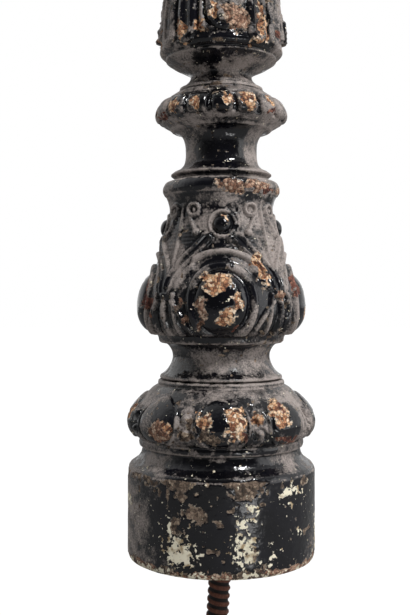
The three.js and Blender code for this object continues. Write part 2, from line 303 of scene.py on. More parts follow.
FRESH_CHIPS = [
    (-4, 153.6, 6.8, 5.5), (9, 143.2, 3.4, 6.2), (2, 135.2, 4.9, 3.2), (2, 188.4, 1.8, 2.2),
    (30, 166.6, 2.6, 3.4), (33, 161.0, 2.4, 4.0), (34, 154.5, 3.2, 3.0), (-24, 250.8, 3.8, 3.1),
    (22, 251.4, 5.4, 4.8), (45, 252.0, 3.4, 2.6), (5, 250.0, 2.4, 3.0), (-38, 290.6, 2.8, 8.0),
    (-9, 299.6, 1.8, 4.0), (36, 297.0, 2.4, 10.0), (44, 292.0, 2.2, 7.0), (32, 284.2, 2.8, 1.6),
    (-10, 80.8, 3.8, 4.8), (8, 80.2, 5.8, 8.4), (22, 82.4, 3.6, 2.2), (37, 83.2, 6.2, 7.0),
    (-35, 77.4, 3.4, 3.2), (-47, 250.4, 3.2, 2.8), (-21, 291.6, 2.2, 3.6), (98, 82.0, 4.4, 5.4),
    (84, 139.0, 4.2, 4.0),
]
PALE_CHIPS = [
    (-14, 141.9, 3.4, 6.8), (45, 146.6, 4.6, 3.6), (9, 206.2, 9.6, 3.9), (33, 206.0, 12.0, 3.7),
    (12, 294.6, 7.8, 8.4), (-30, 143.6, 1.8, 1.6), (-27, 133.5, 2.4, 2.6), (-40, 74.3, 8.2, 4.2),
    (-14, 132.5, 2.2, 3.4), (104, 250.6, 4.0, 3.2), (90, 151.0, 5.0, 4.0), (-78, 290.0, 2.4, 7.0),
    (76, 206.0, 8.0, 2.6),
]
OLD_CHIPS = [
    (-27, 48.6, 10.0, 2.8), (-23, 43.8, 4.8, 2.8), (13, 49.0, 13.2, 2.8), (12, 44.4, 8.8, 2.9),
    (-15, 33.7, 5.2, 5.0), (15, 13.4, 4.4, 5.0), (-27, 28.0, 3.8, 6.4), (-8, 73.4, 7.2, 3.0),
    (-23, 74.0, 4.8, 3.2), (-22, 81.4, 2.6, 3.0), (-32, 91.0, 2.6, 1.2), (-54, 49.4, 14.0, 2.2),
    (57, 47.0, 3.0, 3.0), (96, 47.6, 10.0, 3.2), (88, 22.0, 5.0, 6.0),
]
RED_CHIPS = [
    (10, 129.6, 2.0, 2.0), (53, 246.7, 6.0, 2.2), (-64, 245.6, 5.0, 1.8), (41, 70.6, 8.0, 2.0),
    (-70, 147.0, 4.0, 8.0), (-62, 141.0, 4.6, 5.2), (70, 152.0, 4.0, 7.0), (47, 204.4, 7.4, 2.2),
    (40, 86.0, 2.6, 3.4), (13, 74.6, 2.2, 1.8), (59, 289.0, 2.0, 5.0), (-90, 80.0, 5.0, 3.0),
]
CREAM_PATCHES = [
    (-27, 13.6, 7.2, 6.8), (-31, 24.0, 1.8, 4.4), (12, 16.4, 5.6, 8.2), (11, 27.4, 2.7, 5.0),
    (17, 36.4, 3.0, 2.1), (19, 30.8, 1.1, 1.4), (43, 44.4, 6.0, 2.4), (50, 42.4, 2.6, 2.0),
    (42, 36.1, 1.8, 1.6), (29, 11.2, 1.7, 4.4), (51, 21.6, 1.4, 1.9), (-12, 14.1, 2.0, 0.9),
    (-56, 52.0, 8.0, 1.0), (-20, 3.0, 5.0, 2.2), (18, 3.2, 7.0, 2.0), (82, 14.0, 6.0, 8.0),
    (104, 34.0, 4.0, 4.0),
]
RUBBED = [
    (-8, 227.5, 14.0, 11.0), (-14, 276.4, 13.0, 3.0), (-26, 206.8, 12.6, 3.4), (-31, 177.0, 7.0, 7.0),
    (29, 149.0, 5.5, 12.0), (-36, 81.8, 9.0, 11.0), (-1, 80.6, 11.0, 12.0), (46, 80.0, 7.0, 9.0),
    (-6, 57.6, 30.0, 5.0), (6, 27.0, 54.0, 23.0), (-4, 249.6, 10.0, 4.6), (-25, 139.0, 6.0, 14.0),
    (-3, 165.0, 11.0, 2.6), (-14, 175.4, 9.0, 4.0), (14, 176.4, 6.0, 4.0), (50, 134.0, 12.0, 11.0),
    (-52, 133.0, 7.0, 7.0), (-47, 154.0, 5.0, 10.0), (40, 153.0, 8.0, 10.0), (-6, 284.4, 34.0, 3.0),
    (-30, 303.0, 4.0, 12.0), (28, 304.0, 4.0, 14.0), (-14, 254.0, 5.0, 3.0), (-66, 79.0, 10.0, 6.0),
    (11, 187.0, 5.0, 6.0), (90, 143.0, 11.0, 12.0), (90, 80.0, 10.0, 10.0), (-4, 65.0, 30.0, 2.0),
]
DUSTED = [
    (-34, 243.6, 20.0, 2.4), (8, 243.2, 22.0, 2.0), (46, 243.8, 14.0, 2.4), (-42, 273.0, 8.0, 6.0),
    (20, 273.0, 11.0, 6.0), (-14, 220.6, 7.0, 4.4), (48, 229.0, 7.0, 12.0), (2, 112.0, 15.0, 6.0),
    (42, 112.0, 14.0, 8.0), (-30, 92.0, 14.0, 4.4), (4, 93.4, 15.0, 3.2), (46, 92.0, 14.0, 4.4),
    (-28, 197.0, 12.0, 4.6), (0, 198.4, 11.0, 2.6), (30, 190.0, 9.0, 9.0), (-24, 188.0, 12.0, 8.0),
    (-24, 165.0, 5.0, 4.0), (-33, 157.0, 5.0, 6.0), (-22.5, 81.0, 5.6, 10.0), (22.5, 79.4, 5.6, 10.0),
    (19, 303.0, 3.6, 14.0), (-54, 57.0, 16.0, 4.0), (46, 57.0, 14.0, 4.4), (0, 202.4, 40.0, 1.2),
    (-42, 168.0, 8.0, 14.0), (48, 172.0, 8.0, 12.0), (-46, 128.0, 8.0, 4.0),
]


def inside_spots(angle, height, radius, spots):
    """How far inside the nearest spot each place is: 1 in its middle and 0 on its edge.
    The back has the front's spots again."""
    inside = np.full(angle.shape, -1.0)
    for turn, level, half_width, half_height in spots:
        across = from_nearest(angle - math.radians(turn), 2) * radius / half_width
        up = (height - level) / half_height
        inside = np.maximum(inside, 1 - np.hypot(across, up))
    return inside


def worn(places, edges, film):
    """The wear of painted iron at places in mm, each from 0 to 1: dust with painted sheen, highlight and
    shade, chips, their tone and cream paint. Edges that stand out are made paler, as dust and painted
    highlight, and the corners beside them are kept black, as painted shade."""
    x, y, height = places.T
    radius = np.hypot(x, y)
    angle = np.arctan2(x, -y)
    edge = 0.55 * ragged(places, 5.0) + 0.25 * ragged(places, 1.6)
    drift = [6.0 * ragged(places + shift, 5.0) for shift in (40.0, 90.0)]

    def patch(spots):
        warped = angle + drift[0] / np.maximum(radius, 5.0)
        return inside_spots(warped, height + drift[1], radius, spots) + 0.3 * edge

    fresh, pale, old, red = [patch(spots) for spots in (FRESH_CHIPS, PALE_CHIPS, OLD_CHIPS, RED_CHIPS)]
    foot = 1.1 - height / 4.2 + 1.6 * edge + 0.25 * np.sin(angle * 5)
    in_cove = step(height, DRUM_TOP + 0.6, DRUM_TOP + 1.6) * (height < COVE_TOP)
    old = np.maximum(old, foot)
    specks = (noise(places, 2.6) - 0.86) * 3 + 0.9 * (noise(places, 24.0) - 0.5)
    chip = np.maximum.reduce([fresh, pale, old, red, specks])
    tone = np.select([chip == fresh, chip == pale, chip == red], [0.0, 0.33, 0.66], 1.0)
    tone = np.where(height < BARE_TOP, np.where(noise(places, 11.0) > 0.45, 0.33, 1.0), tone)
    flakes = 6 * (noise(places + 60, 2.0) - 0.97)
    rim = foot - 0.75 + 1.6 * ragged(places, 9.0)
    cream = np.where(height < CREAM_TOP, np.maximum(patch(CREAM_PATCHES) + 0.9 * edge, flakes), -1)
    cream = np.where(height < RIM_TOP, np.maximum(cream, rim), cream) - in_cove
    # painted sheen: places are made greyer towards the sides, as seen from the front and back, as if the
    # paint reflected a pale room at a grazing angle
    side = step(np.abs(np.arcsin(np.clip(np.sin(angle), -1, 1))), 0.3, 1.3)
    rubbed, dusted = [step(patch(spots), -0.2, 0.5) for spots in (RUBBED, DUSTED)]
    clouds = ragged(places + 15.0, 17.0)
    # dust, with painted sheen at the sides, painted highlight on edges that stand out, and painted shade in
    # the hollows beside them
    dust_and_sheen = 0.43 + 0.2 * side + 0.34 * np.clip(edges, -1.8, 1.0) + film
    dust_and_sheen += 0.34 * dusted - 0.6 * rubbed + 0.6 * edge + 0.8 * clouds
    # pale lines along the edges between mouldings: dust and painted highlight
    dust_and_sheen += (0.45 + 0.9 * edge) * np.max([rounded(height - level, 0.6) for level in DUST_AND_HIGHLIGHT_LINES], axis=0)
    # the drum: less dust, and its left side, as seen from the front, made greyer as dust and painted sheen
    on_drum = -0.34 + 0.5 * side * (np.sin(angle) < 0)
    dust_and_sheen = np.where(height < DRUM_TOP + 2, dust_and_sheen + on_drum, dust_and_sheen)
    return np.clip(np.stack([dust_and_sheen, 0.5 + 0.5 * (chip - in_cove), tone, 0.5 + 0.5 * cream], axis=1), 0, 1)


def keep_wear(mesh, wear):
    """Stores the wear as one colour attribute for the paint to read."""
    colours = mesh.attributes.new("wear", "FLOAT_COLOR", "POINT")
    colours.data.foreach_set("color", wear.astype(np.float32).ravel())


# Nodes

def add(tree, kind, inputs=(), stops=(), **settings):
    """Adds a node with its settings, and a ramp's colour stops. Its inputs are a dict by name or a list in
    order, and each is a value, a socket, or a node whose first output is meant."""
    node = tree.nodes.new(kind)
    for name, value in settings.items():
        setattr(node, name, value)
    for position, hex_colour in stops:
        node.color_ramp.elements.new(position).color = (*linear(hex_colour), 1)
    if stops:
        elements = node.color_ramp.elements
        elements.remove(elements[0])
        elements.remove(elements[len(elements) - 1])
    open_sockets = [socket for socket in node.inputs if socket.enabled]
    for key, value in inputs.items() if isinstance(inputs, dict) else enumerate(inputs):
        socket = open_sockets[key] if isinstance(key, int) else node.inputs[key]
        if isinstance(value, bpy.types.Node):
            value = next(output for output in value.outputs if output.enabled)
        if isinstance(value, bpy.types.NodeSocket):
            tree.links.new(value, socket)
        else:
            socket.default_value = value
    return node


def new_material(name):
    material = bpy.data.materials.new(name)
    material.use_nodes = True
    material.node_tree.nodes.clear()
    return material, material.node_tree


# What shows in a chip, from its cracks to its crumbs, and the tone that each starts from: fresh orange rust,
# paler pinkish rust, red-brown rust, and old grey-brown rust
RUSTS = (
    (-1.0, ((0.2, "#26160f"), (0.34, "#774832"), (0.48, "#c48c64"), (0.62, "#e0b78e"), (0.8, "#f6e6d2"))),
    (0.17, ((0.2, "#2b1c16"), (0.36, "#7d5743"), (0.52, "#a88069"), (0.68, "#c6a68d"), (0.84, "#e2cdb8"))),
    (0.5, ((0.2, "#1f110e"), (0.4, "#5c3128"), (0.6, "#7f4a3c"), (0.8, "#ab7c66"))),
    (0.84, ((0.2, "#221b15"), (0.38, "#5a4a3e"), (0.56, "#7e6b5b"), (0.74, "#a18d79"), (0.88, "#c6b8a4"))),
)


def painted_iron(name, colours):
    """Thick black gloss paint brushed on cast iron. Clean, it is deep black with crisp highlights on soft
    lumps. Under dust, and where sheen and highlight are painted, it is a matt grey-brown film. Chipped, it
    shows crumbs of rust, and old cream paint on the drum."""
    material, tree = new_material(name)
    places = add(tree, "ShaderNodeTexCoord").outputs["Object"]
    wear = add(tree, "ShaderNodeAttribute", attribute_name="wear")
    parts = add(tree, "ShaderNodeSeparateColor", [wear.outputs["Color"]]).outputs
    # the first channel holds dust, with painted sheen, highlight and shade
    dust_and_sheen, chip, tone = parts[0], parts[1], parts[2]
    cream = wear.outputs["Alpha"]

    # the iron's grain, grit on it, flakes and lumps in the paint, and clouds of dust, in mm. Grain and grit
    # are coarser than the real 0.3 mm or so, because a pixel of the picture is 0.57 mm.
    grain, grit, flakes, lumps, clouds = [
        add(tree, "ShaderNodeTexNoise", {"Vector": places, "Scale": 1 / (size * MM), "Detail": 3.0})
        for size in (1.3, 0.8, 2.2, 4.5, 22.0)]
    brushed = add(tree, "ShaderNodeMapping", {"Vector": places, "Scale": (1.0, 1.0, 0.16)})
    streaks = add(tree, "ShaderNodeTexNoise", {"Vector": brushed, "Scale": 1 / (1.6 * MM), "Detail": 2.0})

    # crumbs of rust with cracks between them, coarser than the real ones so that they show in the picture
    shaken = add(tree, "ShaderNodeVectorMath", [grain.outputs["Color"], (1.7 * MM,) * 3, places],
                 operation="MULTIPLY_ADD")
    crumbs = {"Vector": shaken, "Scale": 1 / (1.8 * MM)}
    crumb = add(tree, "ShaderNodeTexVoronoi", crumbs)
    cell = add(tree, "ShaderNodeSeparateColor", [crumb.outputs["Color"]])
    gap = add(tree, "ShaderNodeTexVoronoi", crumbs, feature="DISTANCE_TO_EDGE")
    whole = add(tree, "ShaderNodeMapRange", {"Value": gap, "From Min": 0.0, "From Max": 0.16},
                interpolation_type="SMOOTHSTEP")

    # where the paint has gone
    chipped = add(tree, "ShaderNodeMath", [grain, 0.3, chip], operation="MULTIPLY_ADD")
    chipped = add(tree, "ShaderNodeMath", [cell, 0.12, chipped], operation="MULTIPLY_ADD")
    peeled = add(tree, "ShaderNodeMath", [flakes, 2.4, cream], operation="MULTIPLY_ADD")
    peeled = add(tree, "ShaderNodeMath", [cell, 0.34, peeled], operation="MULTIPLY_ADD")

    # where dust lies, and where sheen and highlight are painted as dust
    settled = add(tree, "ShaderNodeMath", [lumps, 0.9, dust_and_sheen], operation="MULTIPLY_ADD")
    settled = add(tree, "ShaderNodeMath", [grain, 0.8, settled], operation="MULTIPLY_ADD")
    gritty = add(tree, "ShaderNodeMath", [grit, 1.6, settled], operation="MULTIPLY_ADD")

    # bare iron and the lip of paint round it, cream paint, a film of dust and painted sheen, and where that
    # is thick
    bare, lip, creamy, dust_and_sheen_cover, thick = [
        add(tree, "ShaderNodeMapRange", {"Value": value, "From Min": low, "From Max": high},
            interpolation_type="SMOOTHSTEP")
        for value, low, high in (
            (chipped, 0.742, 0.764), (chipped, 0.712, 0.74), (peeled, 1.9, 1.94), (settled, 1.14, 1.52),
            (gritty, 1.9, 2.85))]
    speck = add(tree, "ShaderNodeMapRange", {"Value": grit, "From Min": 0.7, "From Max": 0.76})
    faded = add(tree, "ShaderNodeMath", [dust_and_sheen_cover, 0.93], operation="MULTIPLY")
    flecked = add(tree, "ShaderNodeMath", [speck, 0.5], operation="MULTIPLY")

    # colours, from the paint outwards
    worn_share = add(tree, "ShaderNodeMapRange", {"Value": clouds, "From Min": 0.4, "From Max": 0.7})
    streaked = add(tree, "ShaderNodeMath", [worn_share, streaks], operation="MULTIPLY")
    crust = add(tree, "ShaderNodeMath", [grit, 0.5], operation="MULTIPLY")
    crust = add(tree, "ShaderNodeMath", [cell, 0.5, crust], operation="MULTIPLY_ADD")
    rust = None
    for start, stops in RUSTS:
        shade = add(tree, "ShaderNodeValToRGB", [crust], stops)
        share = add(tree, "ShaderNodeMapRange", {
            "Value": tone, "From Min": start - 0.05, "From Max": start + 0.05})
        rust = add(tree, "ShaderNodeMix", [share, rust or shade, shade], data_type="RGBA")
    cracked = add(tree, "ShaderNodeMapRange", {"Value": whole, "To Min": 0.4})
    soiled = add(tree, "ShaderNodeMapRange", {"Value": lumps, "From Min": 0.5, "From Max": 0.64})
    outline = add(tree, "ShaderNodeMath", [lip, cell], operation="MULTIPLY")
    smoke, thin_dust, fleck, crack, paint_edge, soil = [
        (*linear(colour), 1) for colour in ("#16161f", "#3b3735", "#a5a1a0", "#1a110c", "#b3a595", "#a08a68")]
    paint, film, rust, old_cream = [
        add(tree, "ShaderNodeMix", [share, under, over], data_type="RGBA")
        for share, under, over in (
            (streaked, (*colours.paint, 1), smoke), (thick, thin_dust, (*colours.dust_and_sheen, 1)),
            (cracked, crack, rust), (soiled, (*colours.cream, 1), soil))]
    skin = paint
    for share, over in (
            (flecked, fleck), (faded, film), (outline, paint_edge), (bare, rust), (creamy, old_cream)):
        skin = add(tree, "ShaderNodeMix", [share, skin, over], data_type="RGBA")

    # gloss: brushed thick on the mouldings, thinner on the drum
    high = add(tree, "ShaderNodeSeparateXYZ", [places]).outputs["Z"]
    moulded = add(tree, "ShaderNodeMapRange", {"Value": high, "From Min": 49 * MM, "From Max": 53 * MM})
    rough = add(tree, "ShaderNodeMapRange", {
        "Value": lumps, "From Min": 0.3, "From Max": 0.8, "To Min": 0.06, "To Max": 0.17})
    rough = add(tree, "ShaderNodeMix", [moulded, 0.17, rough])
    gone = add(tree, "ShaderNodeMath", [bare, creamy], operation="MAXIMUM")
    for share, dullness in ((dust_and_sheen_cover, 0.62), (gone, 0.82)):
        rough = add(tree, "ShaderNodeMix", [share, rough, dullness])

    # relief of the paint and of what shows in the chips
    crusted = add(tree, "ShaderNodeMath", [bare, whole], operation="MULTIPLY")
    relief = 0.0
    for pattern, height in (
            (lumps, 0.36), (flakes, 0.16), (grain, 0.07), (streaks, 0.05), (speck, 0.12), (lip, -0.25),
            (crusted, 0.4), (creamy, 0.14)):
        relief = add(tree, "ShaderNodeMath", [pattern, height, relief], operation="MULTIPLY_ADD")
    bump = add(tree, "ShaderNodeBump", {"Strength": 0.8, "Distance": MM, "Height": relief})

    shader = add(tree, "ShaderNodeBsdfPrincipled", {
        "Base Color": skin, "Roughness": rough, "Normal": bump, "Metallic": 0.0, "IOR": 1.5})
    add(tree, "ShaderNodeOutputMaterial", {"Surface": shader})
    return material


def rusty_steel(name, colours):
    """Mild steel thread, rolled and left bare: dark red-brown rust that is dry and dull, and blacker in the
    grooves."""
    material, tree = new_material(name)
    places = add(tree, "ShaderNodeTexCoord").outputs["Object"]
    crest = add(tree, "ShaderNodeAttribute", attribute_name="crest").outputs["Fac"]
    # scale on the steel, coarser than the real one so that it shows, and blooms of brighter rust
    scale = add(tree, "ShaderNodeTexNoise", {
        "Vector": places, "Scale": 1 / (1.1 * MM), "Detail": 4.0, "Roughness": 0.65})
    blooms = add(tree, "ShaderNodeTexNoise", {"Vector": places, "Scale": 1 / (4.5 * MM), "Detail": 2.0})
    rust = add(tree, "ShaderNodeValToRGB", [scale], (
        (0.3, "#2a1613"), (0.5, "#5a3429"), (0.62, "#7d4f3d"), (0.8, "#a4745c")))
    warm = add(tree, "ShaderNodeMix", [blooms, rust, (*colours.rod_rust, 1)], data_type="RGBA")
    deep = add(tree, "ShaderNodeMapRange", {"Value": crest, "From Min": 0.15, "From Max": 0.75})
    skin = add(tree, "ShaderNodeMix", [deep, (*linear("#140c0b"), 1), warm], data_type="RGBA")
    bump = add(tree, "ShaderNodeBump", {"Strength": 0.9, "Distance": 0.4 * MM, "Height": scale})
    shader = add(tree, "ShaderNodeBsdfPrincipled", {
        "Base Color": skin, "Roughness": 0.78, "Metallic": 0.1, "Normal": bump})
    add(tree, "ShaderNodeOutputMaterial", {"Surface": shader})
    return material


def finish(name, make, colours):
    """A material by name, made the first time that it is asked for."""
    return bpy.data.materials.get(name) or make(name, colours)


def base_paint(context):
    return finish("chipped_black_gloss_base", painted_iron, context.scene.baluster_colours)


def column_paint(context):
    return finish("chipped_black_gloss_column", painted_iron, context.scene.baluster_colours)


# Rules in Geometry Nodes

ROD_SIDES, ROD_ROWS = 36, 400
SHAFT_SIDES, SHAFT_ROWS = 192, 60


def rule_tree(name, inputs):
    """A new tree with a material and named inputs, and its group input and output nodes."""
    tree = bpy.data.node_groups.new(name, "GeometryNodeTree")
    tree.interface.new_socket("Geometry", in_out="OUTPUT", socket_type="NodeSocketGeometry")
    tree.interface.new_socket("Material", in_out="INPUT", socket_type="NodeSocketMaterial")
    for label, value in inputs.items():
        kind = "NodeSocketInt" if isinstance(value, int) else "NodeSocketFloat"
        tree.interface.new_socket(label, in_out="INPUT", socket_type=kind)
    return tree, add(tree, "NodeGroupInput").outputs


def close_tree(tree, geometry, material):
    real = add(tree, "GeometryNodeRealizeInstances", {"Geometry": geometry})
    done = add(tree, "GeometryNodeSetMaterial", {"Geometry": real, "Material": material})
    add(tree, "NodeGroupOutput", [done])


def mesh_from(tree, name, material, inputs):
    """Runs a tree with its inputs and gives the plain mesh."""
    holder = bpy.data.objects.new(name, bpy.data.meshes.new(name))
    bpy.context.collection.objects.link(holder)
    modifier = holder.modifiers.new("rule", "NODES")
    modifier.node_group = tree
    values = {"Material": material, **inputs}
    for socket in tree.interface.items_tree:
        if socket.in_out == "INPUT":
            modifier[socket.identifier] = values[socket.name]
    holder.update_tag()
    bpy.context.view_layer.update()
    shown = holder.evaluated_get(bpy.context.evaluated_depsgraph_get())
    mesh = bpy.data.meshes.new_from_object(shown)
    mesh.name = name
    bpy.data.objects.remove(holder)
    return mesh


def wrapped_grid(tree, around, along):
    """A flat grid for wrapping round an axis. Gives its share of the turn, its share of the length, and where
    it is open: its first and last rows only close the two ends."""
    grid = add(tree, "GeometryNodeMeshGrid", [1.0, 1.0, around, along])
    place = add(tree, "ShaderNodeSeparateXYZ", [add(tree, "GeometryNodeInputPosition")]).outputs
    turn, row = [add(tree, "ShaderNodeMath", [place[k], 0.5], operation="ADD") for k in (0, 1)]
    first = 1 / (along - 1)
    share = add(tree, "ShaderNodeMapRange", {"Value": row, "From Min": first, "From Max": 1 - first})
    above = add(tree, "ShaderNodeMath", [row, first / 2], operation="GREATER_THAN")
    below = add(tree, "ShaderNodeMath", [row, 1 - first / 2], operation="LESS_THAN")
    opened = add(tree, "ShaderNodeMath", [above, below], operation="MULTIPLY")
    return grid, turn, share, opened


def wrap(tree, grid, turn, opened, radius, height):
    """Wraps the grid round the axis at a radius."""
    reach = add(tree, "ShaderNodeMath", [radius, opened], operation="MULTIPLY")
    angle = add(tree, "ShaderNodeMath", [turn, TURN], operation="MULTIPLY")
    sideways = [add(tree, "ShaderNodeMath", [angle], operation=way) for way in ("COSINE", "SINE")]
    x, y = [add(tree, "ShaderNodeMath", [reach, way], operation="MULTIPLY") for way in sideways]
    place = add(tree, "ShaderNodeCombineXYZ", [x, y, height])
    return add(tree, "GeometryNodeSetPosition", {"Geometry": grid, "Position": place})


def thread_rule(inputs):
    """A screw thread: the radius rises and falls once a pitch, and a turn moves it on by one pitch."""
    tree, given = rule_tree("screw_thread", inputs)
    grid, turn, share, opened = wrapped_grid(tree, ROD_SIDES + 1, ROD_ROWS)
    height = add(tree, "ShaderNodeMath", [share, given["Length"]], operation="MULTIPLY")
    pitches = add(tree, "ShaderNodeMath", [height, given["Pitch"]], operation="DIVIDE")
    turns = add(tree, "ShaderNodeMath", [pitches, turn], operation="ADD")
    wave = add(tree, "ShaderNodeMath", [turns, 0.5], operation="PINGPONG")
    crest = add(tree, "ShaderNodeMapRange", {"Value": wave, "From Min": 0.08, "From Max": 0.42},
                interpolation_type="SMOOTHSTEP")
    kept = add(tree, "GeometryNodeStoreNamedAttribute", {"Geometry": grid, "Name": "crest", "Value": crest},
               data_type="FLOAT", domain="POINT")
    depth = add(tree, "ShaderNodeMath", [given["Crest"], given["Root"]], operation="SUBTRACT")
    thread = add(tree, "ShaderNodeMath", [crest, depth, given["Root"]], operation="MULTIPLY_ADD")
    tip = add(tree, "ShaderNodeMath", [height, 0.48, 1.6 * MM], operation="MULTIPLY_ADD")
    radius = add(tree, "ShaderNodeMath", [thread, tip], operation="MINIMUM")
    pits = add(tree, "ShaderNodeTexNoise", {"W": given["Seed"], "Scale": 1 / (3.3 * MM), "Detail": 3.0},
               noise_dimensions="4D")
    pitted = add(tree, "ShaderNodeMapRange", {"Value": pits, "To Min": -0.25 * MM, "To Max": 0.25 * MM})
    radius = add(tree, "ShaderNodeMath", [radius, pitted], operation="ADD")
    level = add(tree, "ShaderNodeMath", [height, given["Below"]], operation="SUBTRACT")
    rod = wrap(tree, kept, turn, opened, radius, level)
    lean = add(tree, "ShaderNodeCombineXYZ", {"Y": given["Lean"]})
    turned = add(tree, "GeometryNodeTransform", {"Geometry": rod, "Rotation": lean})
    close_tree(tree, turned, given["Material"])
    return tree


def reeded_rule(inputs):
    """A tapering shaft with reeds: the radius dips by the cube of the way to the next groove."""
    tree, given = rule_tree("reeded_shaft", inputs)
    grid, turn, share, opened = wrapped_grid(tree, SHAFT_SIDES + 1, SHAFT_ROWS)
    ring = add(tree, "ShaderNodeMath", [turn, given["Reeds"]], operation="MULTIPLY")
    way = add(tree, "ShaderNodeMath", [ring, 0.5], operation="PINGPONG")
    cubed = add(tree, "ShaderNodeMath", [add(tree, "ShaderNodeMath", [way, 2.0], operation="MULTIPLY"), 3.0],
                operation="POWER")
    dip = add(tree, "ShaderNodeMath", [cubed, given["Reed depth"]], operation="MULTIPLY")
    plain = add(tree, "ShaderNodeMix", [share, given["Foot radius"], given["Head radius"]])
    height = add(tree, "ShaderNodeMix", [share, given["Foot"], given["Head"]])
    radius = add(tree, "ShaderNodeMath", [plain, dip], operation="SUBTRACT")
    close_tree(tree, wrap(tree, grid, turn, opened, radius, height), given["Material"])
    return tree


def bead_rule(inputs):
    """Two rings of beads, one over the other, in the gaps between the lobes."""
    tree, given = rule_tree("bead_rings", inputs)
    half = add(tree, "ShaderNodeMath", [math.pi, given["Count"]], operation="DIVIDE")
    turn = add(tree, "ShaderNodeCombineXYZ", {"Z": half})
    rings = add(tree, "GeometryNodeJoinGeometry")
    for which in ("Lower", "Upper"):
        bead = add(tree, "GeometryNodeMeshUVSphere", [20, 12, given[f"{which} bead"]])
        circle = add(tree, "GeometryNodeMeshCircle", {
            "Vertices": given["Count"], "Radius": given[f"{which} ring"]})
        place = add(tree, "ShaderNodeCombineXYZ", {"Z": given[f"{which} height"]})
        placed = add(tree, "GeometryNodeTransform", {
            "Geometry": circle, "Translation": place, "Rotation": turn})
        beads = add(tree, "GeometryNodeInstanceOnPoints", {"Points": placed, "Instance": bead})
        tree.links.new(beads.outputs[0], rings.inputs[0])
    close_tree(tree, rings, given["Material"])
    return tree


# Base casting

LOBE_HEIGHT = 79.4
LOBE_HALF_WIDTH = 12.6
LOBE_BELOW = 11.4
LOBE_ABOVE = 13.4
UPPER_BEAD_HEIGHT = 82.4
LOWER_BEAD_HEIGHT = 74.6


def base_profile(sizes):
    drum, cushion = sizes.drum_radius / MM, sizes.cushion_radius / MM
    return np.vstack([
        straight([(0, 0), (drum - 2.6, 0)], 9.0)[:-1],
        spline([(drum - 2.6, 0), (drum - 0.8, 0.8), (drum, 2.8)], 0.5)[:-1],
        straight([(drum, 2.8), (drum, 49.6)], 0.7)[:-1],
        straight([(drum, 49.6), (drum - 0.4, 50.6), (drum - 1.2, 52.2)], 0.6)[:-1],
        spline([(drum - 1.6, 52.6), (49.5, 53.9), (47.3, 55.6), (46, 57.3), (45.2, 59),
                (44.5, 62)], 0.7)[:-1],
        spline([(44.6, 62.2), (46.2, 63), (46.6, 65), (46.2, 66.8)], 0.5)[:-1],
        spline([(46.2, 67.2), (49.2, 69.2), (cushion - 0.6, 72), (cushion, 75.5), (cushion - 0.2, 78),
                (50.2, 81.4), (48.2, 84.8), (45.6, 88.2), (42.4, 91.8), (39.0, 95.0),
                (36.6, 96.6)], 0.5)[:-1],
        straight([(35.6, 96.9), (35.9, 98.0), (35.6, 99.2), (34.8, 99.8), (32.0, 99.9)], 0.6)[:-1],
        straight([(32.0, 99.9), (0, 99.9)], 12.0)])


def lobe_carving(sizes):
    """Egg-shaped lobes, each between two thin ridges that fade out above it, and round each lower bead an
    arched groove."""
    def carving(angle, height, radius):
        up = (height - LOBE_HEIGHT) / np.where(height > LOBE_HEIGHT, LOBE_ABOVE, LOBE_BELOW)
        across = from_nearest(angle, sizes.lobes) * radius
        egg = np.hypot(across / (LOBE_HALF_WIDTH * (1 - 0.1 * up)), up)
        lobe = rounded(egg, 1.0) ** 0.8 * sizes.lobe_lift / MM
        ridge = 1.0 * rounded(egg - 1.12, 0.07) * (1 - step(up, 0.35, 0.8))
        gap = from_nearest(angle + math.pi / sizes.lobes, sizes.lobes) * radius
        arch = np.hypot(gap, np.maximum(height - LOWER_BEAD_HEIGHT, 0))
        above_foot = step(height, LOWER_BEAD_HEIGHT - 3.0, LOWER_BEAD_HEIGHT - 2.0)
        groove = -1.2 * rounded(arch - 3.1, 0.9) * above_foot
        hollow = -0.7 * rounded(np.hypot(gap, height - UPPER_BEAD_HEIGHT) - 3.5, 0.8)
        on_cushion = step(height, 67.4, 69.0) * (1 - step(height, 93.0, 95.0))
        return (np.maximum(lobe, ridge) + groove + hollow) * on_cushion, np.zeros(angle.shape)
    return carving


class BALUSTER_OT_base(bpy.types.Operator):
    """Makes the base casting: drum, cove, ring, and cushion with lobes"""
    bl_idname = "baluster.base"
    bl_label = "Base casting"

    def execute(self, context):
        sizes = context.scene.baluster_sizes
        mesh = turned_casting(
            "base_casting_iron", base_profile(sizes), round_angles(270, 160), lobe_carving(sizes))
        show("base_casting_iron", mesh, base_paint(context), "base_paint", "base_casting")
        return {"FINISHED"}


class BALUSTER_OT_beads(bpy.types.Operator):
    """Sets the beads between the cushion's lobes"""
    bl_idname = "baluster.beads"
    bl_label = "Cushion beads"

    def execute(self, context):
        sizes = context.scene.baluster_sizes
        inputs = {
            "Count": sizes.lobes, "Lower bead": sizes.lower_bead, "Upper bead": sizes.upper_bead,
            "Lower ring": sizes.cushion_radius - 0.6 * MM, "Lower height": LOWER_BEAD_HEIGHT * MM,
            "Upper ring": sizes.cushion_radius - 2.4 * MM, "Upper height": UPPER_BEAD_HEIGHT * MM}
        mesh = mesh_from(bead_rule(inputs), "cushion_beads", base_paint(context), inputs)
        fix_outside(mesh)
        places = np.array([v.co for v in mesh.vertices]) / MM
        keep_wear(mesh, worn(places, np.zeros(len(places)), 0.0))
        show("cushion_beads", mesh, base_paint(context), "base_paint", "base_casting")
        return {"FINISHED"}


# Column casting

KNOP_MIDDLE = 250.8
CABOCHON_HEIGHT = 143.0
CABOCHON_STRETCH = 1.13


